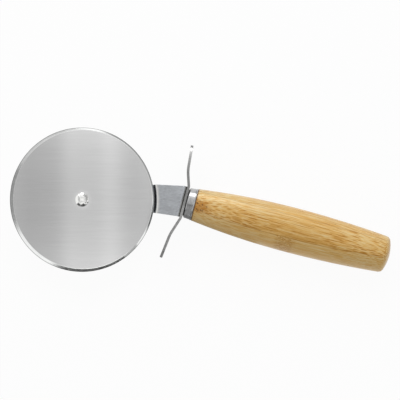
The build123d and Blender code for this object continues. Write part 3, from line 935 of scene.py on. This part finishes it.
class CUTTER_OT_fasteners(Operator):
    """Gives the screw, the spacer and the washers their finish"""

    bl_idname = "cutter.fasteners"
    bl_label = "Screw and Washers"

    def execute(self, context):
        fastener = context.scene.cutter_fastener
        zinc = plated_steel("zinc_plated_steel", fastener.zinc, 0.28)
        for node in ("wheel_spacer", "tail_washer", "tang_screw", "flat_washer"):
            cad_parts[node].material_slots[0].material = zinc
        spring = plated_steel("oiled_spring_steel", fastener.spring, 0.36)
        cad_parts["lock_washer"].material_slots[0].material = spring
        return {"FINISHED"}


def facing(azimuth, polar):
    """The way to a place in the studio, from its angle round the picture, counted up from the picture's right, and
    its angle from straight up, in degrees."""
    azimuth, polar = radians(azimuth), radians(polar)
    return (PICTURE_RIGHT * cos(azimuth) + PICTURE_UP * sin(azimuth)) * sin(polar) + UP * cos(polar)


class CUTTER_OT_studio(Operator):
    """Makes the floor, the soft light and the camera"""

    bl_idname = "cutter.studio"
    bl_label = "Studio"

    def execute(self, context):
        studio = context.scene.cutter_studio
        context.scene.view_settings.view_transform = "Standard"
        self.lay_floor(studio)
        self.hang_tent(context.scene, studio)
        self.hang_ceiling(studio)
        self.hang_spot(studio)
        self.lay_flag()
        self.stand_black_flag()
        self.lean_grey_flag()
        self.set_key_light(studio)
        self.set_camera(context.scene, studio)
        return {"FINISHED"}

    def lay_floor(self, studio):
        """White paper. The camera and reflections see it nearly as bright as it can be, so that it joins the white
        background, and the rest of it takes the object's shadow."""
        sheet = bmesh.new()
        bmesh.ops.create_grid(sheet, x_segments=1, y_segments=1, size=4)
        material, add = new_material("white_background_paper")
        # The paper's fibres are finer than 0.1 mm, and are drawn 0.8 mm wide so that they show
        fibres = grain_space(add, SEAT, 0, (0.8 * MM, 0.8 * MM, 0.8 * MM))
        pulp = add("TexNoise", {"Vector": fibres, "Scale": 1, "Detail": 2})
        relief = add("Bump", {"Height": pulp, "Distance": 0.01 * MM})
        paper = add("BsdfPrincipled", {"Base Color": studio.floor, "Roughness": 0.9, "Normal": relief})
        path = add("LightPath")
        seen = add("Math", path.outputs["Is Camera Ray"], path.outputs["Is Glossy Ray"])
        seen = add("Math", seen, path.outputs["Is Transmission Ray"], use_clamp=True)
        share = add("Math", seen, 0.94, operation="MULTIPLY")
        white = add("Emission", grey(1), 1)
        add("OutputMaterial", add("MixShader", share, paper, white))
        to_object(sheet, "floor", material)

    def hang_tent(self, scene, studio):
        """White tent round the object. Polished steel also sees the grey cards that hang in it."""
        world = bpy.data.worlds.new("tent")
        scene.world = world
        world.use_nodes = True
        add = start_nodes(world.node_tree)
        toward = add("TexCoord").outputs["Generated"]
        # Each card: its angles round the picture and from straight up, its half width, its soft edge, its grey
        cards = (
            (-80, 36, 20, 3, 0.06),
            (-15, 51, 9, 3, 0.12),
            (36, 56, 30, 5, 0.42),
            (125, 38, 21, 5, 0.62),
            (177, 31, 13, 4, 0.31),
            (95, 66, 16, 10, 1.5),
            (-100, 70, 29, 8, 0.26),
            (-48, 86, 22, 8, 0.2),
            (-100, 16, 6, 4, 0.45),
            (92, 77, 12, 6, 4),
        )
        level = 1
        for azimuth, polar, reach, edge, shade in cards:
            nearness = add("VectorMath", toward, facing(azimuth, polar), operation="DOT_PRODUCT")
            outer, inner = cos(radians(reach + edge)), cos(radians(reach - edge))
            card = add("MapRange", nearness.outputs["Value"], outer, inner, 1, shade, interpolation_type="SMOOTHSTEP")
            level = add("Math", level, card, operation="MULTIPLY")
        path = add("LightPath")
        mirrored = add("Math", path.outputs["Is Glossy Ray"], path.outputs["Is Transmission Ray"])
        tent = add("Mix", {0: mirrored, 2: studio.daylight, 3: level})
        whole = add("Mix", {0: path.outputs["Is Camera Ray"], 2: tent, 3: 1})
        add("OutputWorld", add("Background", grey(1), whole))

    def hang_ceiling(self, studio):
        """Graded diffuser close over the wheel. Only reflections see it, and it gives the brushed disc its bands."""
        material, add = new_material("graded_diffuser")
        # The camera stands to the right of the wheel, so each place on the disc sees the diffuser a little to its left
        spread = studio.ceiling_height / studio.camera_height
        centre = AXLE - self.wheel_offset() * spread
        seen = WHEEL_RADIUS * (1 + spread)
        place = add("SeparateXYZ", grain_space(add, centre, PICTURE_TURN, (seen, seen, 1)))
        share = add("MapRange", place.outputs["X"], -1, 1)
        # Places across the disc from the picture's left, and the grey that is seen there
        places = (0.05, 0.13, 0.25, 0.31, 0.36, 0.39, 0.43, 0.47, 0.56, 0.62, 0.67, 0.7, 0.74, 0.78, 0.84, 0.9, 0.96)
        greys = (0.55, 0.5, 0.53, 0.54, 0.61, 0.67, 0.72, 0.69, 0.69, 0.7, 0.78, 0.8, 0.75, 0.68, 0.61, 0.62, 0.68)
        bands = add("ValToRGB", share, stops=[(spot, grey(level)) for spot, level in zip(places, greys)])
        # It is brighter towards both ends of the bands
        ends = add("Math", place.outputs["Y"], place.outputs["Y"], operation="MULTIPLY")
        level = add("Math", ends, 0.3, 1.07, operation="MULTIPLY_ADD")
        add("OutputMaterial", add("Emission", bands, level))
        place = Matrix.Translation(AXLE + UP * studio.ceiling_height) @ Matrix.Rotation(PICTURE_TURN, 4, "Z")
        self.hang_card("ceiling", place, WHEEL_RADIUS * 1.4, WHEEL_RADIUS * 2, material)

    def hang_spot(self, studio):
        """White spot close over the rivet, as wide as its head. Only reflections see it, on the dome's crown."""
        sheet = bmesh.new()
        place = Matrix.Translation(AXLE + UP * studio.spot_height)
        bmesh.ops.create_circle(sheet, cap_ends=True, segments=32, radius=3.6 * MM, matrix=place)
        material, add = new_material("white_spot")
        add("OutputMaterial", add("Emission", grey(1), 1))
        self.show_in_reflections_only(to_object(sheet, "spot", material))

    def lay_flag(self):
        """Grey flag that lies along the handle's lower side. Only reflections see it, low on the ferrule."""
        material = self.felt("grey_flag_felt", SEAT, "8E8E8E", "A2A2A2")
        place = Matrix.Translation((SEAT.x + 10 * MM, SEAT.y - 60 * MM, MM))
        self.hang_card("flag", place, 35.2 * MM, 48 * MM, material)

    def stand_black_flag(self):
        """Black flag that stands below the wheel in the picture. Only reflections see it, low on the rivet's dome."""
        material = self.felt("black_flag_velvet", AXLE, "444444", "5C5C5C")
        place = Matrix.Translation(AXLE - (PICTURE_UP * 62 + PICTURE_RIGHT * 10) * MM + UP * 20 * MM)
        place = place @ Matrix.Rotation(PICTURE_TURN, 4, "Z") @ Matrix.Rotation(radians(90), 4, "X")
        self.hang_card("black_flag", place, 45 * MM, 18 * MM, material)

    def lean_grey_flag(self):
        """Narrow grey flag that leans over the ferrule. Only reflections see it, on the ferrule's lower half."""
        material, add = new_material("grey_flag_card")
        height = add("SeparateXYZ", grain_space(add, SEAT, 0, (1, 1, 100 * MM))).outputs["Z"]
        tone = add("ValToRGB", height, stops=[(0, grey(0.46)), (0.6, grey(0.42)), (0.85, grey(0.16))])
        add("OutputMaterial", add("Emission", tone, 1))
        place = Matrix.Translation(SEAT + Vector((-9, -31, 44)) * MM) @ Matrix.Rotation(radians(58.3), 4, "X")
        self.hang_card("leaning_flag", place, 8 * MM, 58 * MM, material)

    def felt(self, name, centre, dark, light):
        """Felt with a grain of 2 mm, as bright wherever it hangs."""
        material, add = new_material(name)
        fibres = grain_space(add, centre, 0, (2 * MM, 2 * MM, 2 * MM))
        nap = add("TexNoise", {"Vector": fibres, "Scale": 1, "Detail": 2})
        tone = add("ValToRGB", nap, stops=[(0.3, linear(dark)), (0.7, linear(light))])
        add("OutputMaterial", add("Emission", tone, 1))
        return material

    def hang_card(self, name, place, half_width, half_height, material):
        """A flat card that only reflections see."""
        sheet = bmesh.new()
        place = place @ Matrix.Diagonal((half_width, half_height, 1, 1))
        bmesh.ops.create_grid(sheet, x_segments=1, y_segments=1, size=1, matrix=place)
        self.show_in_reflections_only(to_object(sheet, name, material))

    def show_in_reflections_only(self, sheet):
        """Hides a card from the camera and from soft light."""
        sheet.visible_camera = False
        sheet.visible_diffuse = False
        sheet.visible_transmission = False
        sheet.visible_shadow = False

    def set_key_light(self, studio):
        """Large soft lamp beyond the top of the picture."""
        lamp = bpy.data.lights.new("key", "AREA")
        lamp.shape = "RECTANGLE"
        lamp.size, lamp.size_y = 1.2, 0.8
        lamp.energy = studio.key_power
        key = bpy.data.objects.new("key", lamp)
        key.location = facing(95, 50)
        key.rotation_euler = key.location.to_track_quat("Z", "Y").to_euler()
        key.visible_camera = False
        key.visible_glossy = False
        bpy.context.scene.collection.objects.link(key)

    def wheel_offset(self):
        """From the wheel to the point under the camera, which is measured from the handle's seat."""
        right, up = 7.43 * MM, 3.39 * MM
        return Vector((SEAT.x + right - AXLE.x, SEAT.y + up - AXLE.y, 0))

    def set_camera(self, scene, studio):
        """Camera straight over the cutter, turned as the photograph is."""
        eye = bpy.data.cameras.new("camera")
        eye.sensor_width = 36
        eye.lens = eye.sensor_width * studio.camera_height / studio.picture_width
        eye.clip_end = 20
        camera = bpy.data.objects.new("camera", eye)
        under = Vector((AXLE.x, AXLE.y, 0)) + self.wheel_offset()
        camera.location = under + UP * (SEAT.z + studio.camera_height)
        camera.rotation_euler = (0, 0, PICTURE_TURN)
        scene.collection.objects.link(camera)
        scene.camera = camera


class CUTTER_PT_panel(Panel):
    """Lists the pieces with their sizes and colours"""

    bl_idname = "CUTTER_PT_panel"
    bl_label = "Pizza Cutter"
    bl_space_type = "VIEW_3D"
    bl_region_type = "UI"
    bl_category = "Cutter"

    def draw(self, context):
        for operator, _, name in STEPS:
            box = self.layout.box()
            box.operator(operator.bl_idname)
            group = getattr(context.scene, name)
            for item in group.__annotations__:
                box.prop(group, item)


# Each step: its operator, its settings and their name in the scene
STEPS = (
    (CUTTER_OT_wheel, WheelSettings, "cutter_wheel"),
    (CUTTER_OT_rivet, RivetSettings, "cutter_rivet"),
    (CUTTER_OT_arm, ArmSettings, "cutter_arm"),
    (CUTTER_OT_guard, GuardSettings, "cutter_guard"),
    (CUTTER_OT_ferrule, FerruleSettings, "cutter_ferrule"),
    (CUTTER_OT_handle, HandleSettings, "cutter_handle"),
    (CUTTER_OT_fasteners, FastenerSettings, "cutter_fastener"),
    (CUTTER_OT_studio, StudioSettings, "cutter_studio"),
)


def register():
    for operator, group, name in STEPS:
        bpy.utils.register_class(group)
        setattr(bpy.types.Scene, name, PointerProperty(type=group))
        bpy.utils.register_class(operator)
    bpy.utils.register_class(CUTTER_PT_panel)


def unregister():
    bpy.utils.unregister_class(CUTTER_PT_panel)
    for operator, group, name in reversed(STEPS):
        bpy.utils.unregister_class(operator)
        delattr(bpy.types.Scene, name)
        bpy.utils.unregister_class(group)


def main():
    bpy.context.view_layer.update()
    register()
    bpy.ops.cutter.wheel()
    bpy.ops.cutter.rivet()
    bpy.ops.cutter.arm()
    bpy.ops.cutter.guard()
    bpy.ops.cutter.ferrule()
    bpy.ops.cutter.handle()
    bpy.ops.cutter.fasteners()
    bpy.ops.cutter.studio()


if __name__ == "__main__":
    main()
